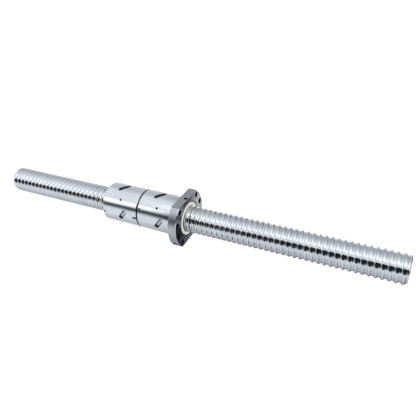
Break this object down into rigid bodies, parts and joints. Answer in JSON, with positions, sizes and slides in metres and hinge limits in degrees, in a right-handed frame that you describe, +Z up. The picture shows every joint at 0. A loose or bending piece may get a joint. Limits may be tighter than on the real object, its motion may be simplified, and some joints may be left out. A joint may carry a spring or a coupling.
{
  "type": "ball screw assembly",
  "caption": "Right-hand ball screw with a flanged double ball nut, internal return inserts, preload spacer and plastic wipers; turning the nut drives it along the shaft.",
  "frame": {"origin": "on the screw axis, in the plane of the flange's mounting face, which faces the nut body", "axes": "+X along the screw towards the flange's open face, +Z up through the flange's upper flat"},
  "size_m": [0.803, 0.11, 0.085],
  "materials": {
    "ground_screw_steel": "bright ground, polished crests",
    "ground_nut_steel": "fine ground",
    "spacer_steel": "dark hardened",
    "insert_steel": "satin",
    "ball_steel": "mirror polished",
    "blackened_steel": "black oxide",
    "wiper_plastic": "satin"
  },
  "bodies": {
    "screw": {"screw_shaft": "ground_screw_steel"},
    "spacer": {"preload_spacer": "spacer_steel"},
    "nut": {"front_nut": "ground_nut_steel", "rear_nut": "ground_nut_steel", "anti_rotation_key": "blackened_steel", "front_wiper": "wiper_plastic", "rear_wiper": "wiper_plastic", "insert_front_1": "insert_steel", "insert_front_2": "insert_steel", "insert_front_3": "insert_steel", "insert_front_4": "insert_steel", "insert_rear_1": "insert_steel", "insert_rear_2": "insert_steel", "insert_rear_3": "insert_steel", "insert_rear_4": "insert_steel", "balls_front_1": "ball_steel", "balls_front_2": "ball_steel", "balls_front_3": "ball_steel", "balls_front_4": "ball_steel", "balls_rear_1": "ball_steel", "balls_rear_2": "ball_steel", "balls_rear_3": "ball_steel", "balls_rear_4": "ball_steel", "wiper_set_screws": "blackened_steel", "joint_lock_screw": "blackened_steel", "port_plug": "blackened_steel"}
  },
  "joints": [
    {"name": "nut_travel", "type": "slide", "parent": "screw", "child": "spacer", "axis": [1, 0, 0], "range_m": [-0.24, 0.37]},
    {"name": "nut_spin", "type": "hinge", "parent": "spacer", "child": "nut", "pos_m": [0, 0, 0], "axis": [1, 0, 0], "range_deg": [-8640, 13320]}
  ],
  "couplings": [
    {"joint": "nut_travel", "follows": "nut_spin", "m_per_rad": 0.0015915}
  ]
}
